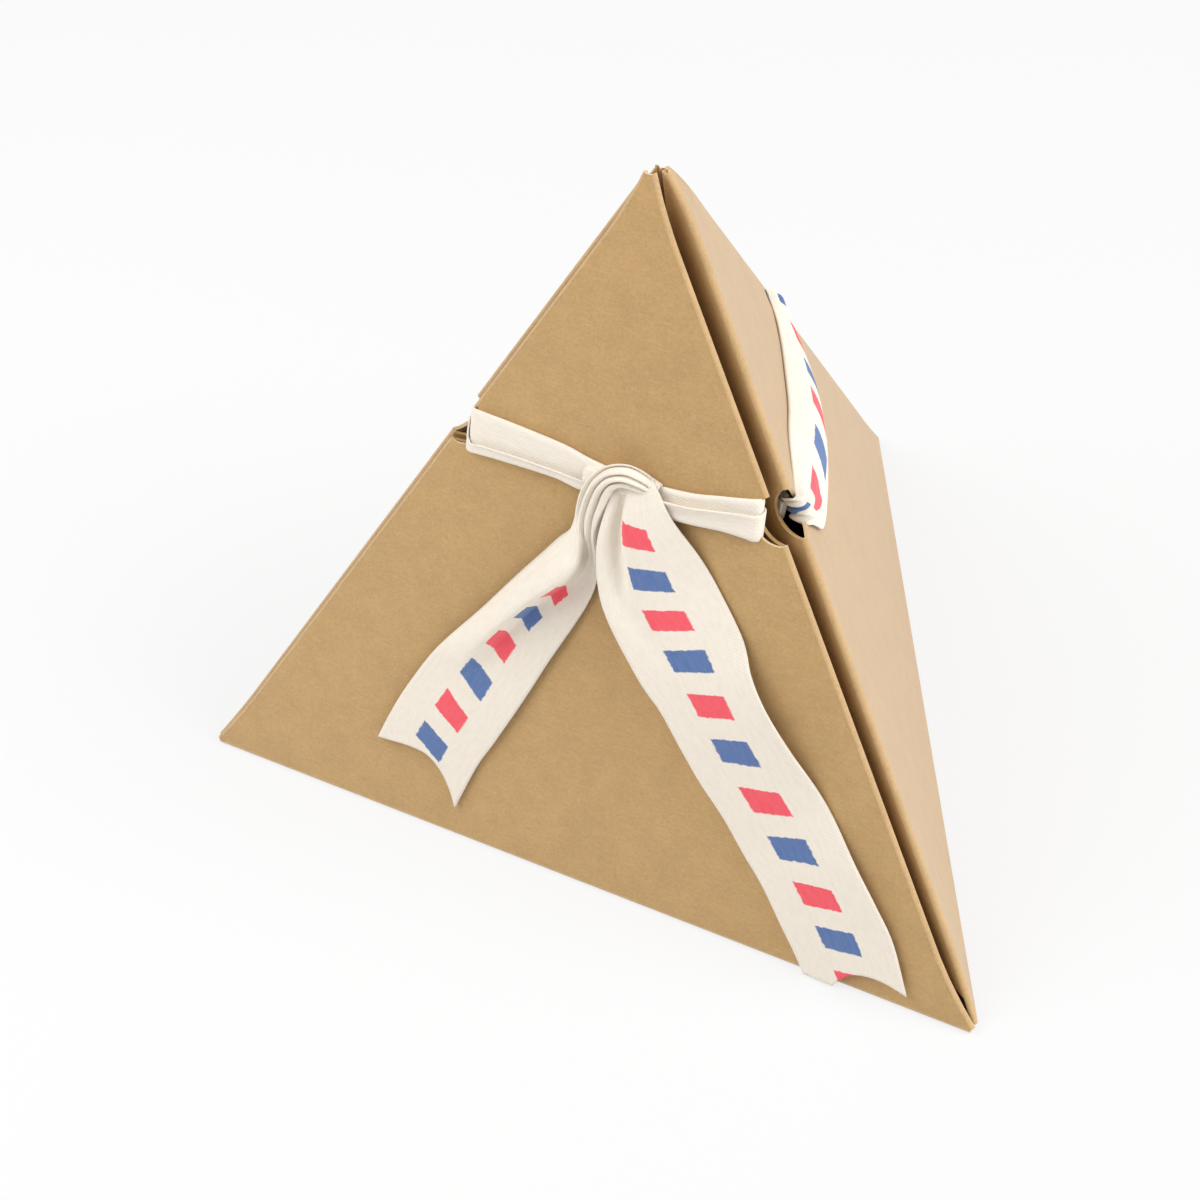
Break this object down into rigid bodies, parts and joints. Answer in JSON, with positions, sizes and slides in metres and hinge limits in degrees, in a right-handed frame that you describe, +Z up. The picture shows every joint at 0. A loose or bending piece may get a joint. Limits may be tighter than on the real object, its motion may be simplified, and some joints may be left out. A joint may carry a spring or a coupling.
{
  "type": "favor box",
  "caption": "Pyramid favor box folded from kraft card, with petals that open flat, tied shut round its middle by a printed cotton ribbon with a knot and hollow-cut tails.",
  "frame": {"origin": "middle of the triangular foot, on the surface that the box stands on", "axes": "+Z up to the tip, -Y out of the front, the side with the knot"},
  "size_m": [0.121, 0.108, 0.0952],
  "materials": {
    "kraft_card": "matte",
    "printed_ribbon": "matte"
  },
  "bodies": {
    "base": {"base_panel": "kraft_card"},
    "front_petal": {"front_petal": "kraft_card"},
    "right_petal": {"right_petal": "kraft_card"},
    "left_petal": {"left_petal": "kraft_card"},
    "front_petal_left_flange": {"front_petal_left_flange": "kraft_card"},
    "front_petal_right_flange": {"front_petal_right_flange": "kraft_card"},
    "right_petal_left_flange": {"right_petal_left_flange": "kraft_card"},
    "right_petal_right_flange": {"right_petal_right_flange": "kraft_card"},
    "left_petal_left_flange": {"left_petal_left_flange": "kraft_card"},
    "left_petal_right_flange": {"left_petal_right_flange": "kraft_card"},
    "ribbon": {"ribbon_front_left": "printed_ribbon", "ribbon_front_right": "printed_ribbon", "ribbon_right_face": "printed_ribbon", "ribbon_left_face": "printed_ribbon", "ribbon_corner_right": "printed_ribbon", "ribbon_corner_back": "printed_ribbon", "ribbon_corner_left": "printed_ribbon", "ribbon_knot": "printed_ribbon", "ribbon_left_tail": "printed_ribbon", "ribbon_right_tail": "printed_ribbon"}
  },
  "joints": [
    {"name": "front_petal_fold", "type": "hinge", "parent": "base", "child": "front_petal", "pos_m": [0, -0.03522, 0.00025], "axis": [1, 0, 0], "range_deg": [0, 109.47]},
    {"name": "right_petal_fold", "type": "hinge", "parent": "base", "child": "right_petal", "pos_m": [0.0305, 0.01761, 0.00025], "axis": [-0.5, 0.866, 0], "range_deg": [0, 109.47]},
    {"name": "left_petal_fold", "type": "hinge", "parent": "base", "child": "left_petal", "pos_m": [-0.0305, 0.01761, 0.00025], "axis": [-0.5, -0.866, 0], "range_deg": [0, 109.47]},
    {"name": "front_petal_left_flange_fold", "type": "hinge", "parent": "front_petal", "child": "front_petal_left_flange", "pos_m": [-0.02309, -0.01443, 0.05904], "axis": [0.5078, 0.2872, 0.8122], "range_deg": [0, 144.74]},
    {"name": "front_petal_right_flange_fold", "type": "hinge", "parent": "front_petal", "child": "front_petal_right_flange", "pos_m": [0.02309, -0.01443, 0.05904], "axis": [0.5078, -0.2872, -0.8122], "range_deg": [0, 144.74]},
    {"name": "right_petal_left_flange_fold", "type": "hinge", "parent": "right_petal", "child": "right_petal_left_flange", "pos_m": [0.02404, -0.01278, 0.05904], "axis": [-0.5026, 0.2962, 0.8122], "range_deg": [0, 144.74]},
    {"name": "right_petal_right_flange_fold", "type": "hinge", "parent": "right_petal", "child": "right_petal_right_flange", "pos_m": [0.00096, 0.02721, 0.05904], "axis": [-0.0052, 0.5833, -0.8122], "range_deg": [0, 144.74]},
    {"name": "left_petal_left_flange_fold", "type": "hinge", "parent": "left_petal", "child": "left_petal_left_flange", "pos_m": [-0.00096, 0.02721, 0.05904], "axis": [-0.0052, -0.5833, 0.8122], "range_deg": [0, 144.74]},
    {"name": "left_petal_right_flange_fold", "type": "hinge", "parent": "left_petal", "child": "left_petal_right_flange", "pos_m": [-0.02404, -0.01278, 0.05904], "axis": [-0.5026, -0.2962, -0.8122], "range_deg": [0, 144.74]},
    {"name": "ribbon_lift", "type": "slide", "parent": "base", "child": "ribbon", "axis": [0, 0, 1], "range_m": [0, 0.06], "deforming": ["ribbon_front_left", "ribbon_front_right", "ribbon_right_face", "ribbon_left_face", "ribbon_corner_right", "ribbon_corner_back", "ribbon_corner_left", "ribbon_knot", "ribbon_left_tail", "ribbon_right_tail"]}
  ],
  "couplings": [
    {"joint": "right_petal_fold", "follows": "front_petal_fold", "ratio": 1},
    {"joint": "left_petal_fold", "follows": "front_petal_fold", "ratio": 1},
    {"joint": "front_petal_left_flange_fold", "follows": "front_petal_fold", "ratio": 1.3221},
    {"joint": "front_petal_right_flange_fold", "follows": "front_petal_fold", "ratio": 1.3221},
    {"joint": "right_petal_left_flange_fold", "follows": "front_petal_fold", "ratio": 1.3221},
    {"joint": "right_petal_right_flange_fold", "follows": "front_petal_fold", "ratio": 1.3221},
    {"joint": "left_petal_left_flange_fold", "follows": "front_petal_fold", "ratio": 1.3221},
    {"joint": "left_petal_right_flange_fold", "follows": "front_petal_fold", "ratio": 1.3221},
    {"joint": "ribbon_lift", "follows": "front_petal_fold", "m_per_rad": 0.0314}
  ]
}
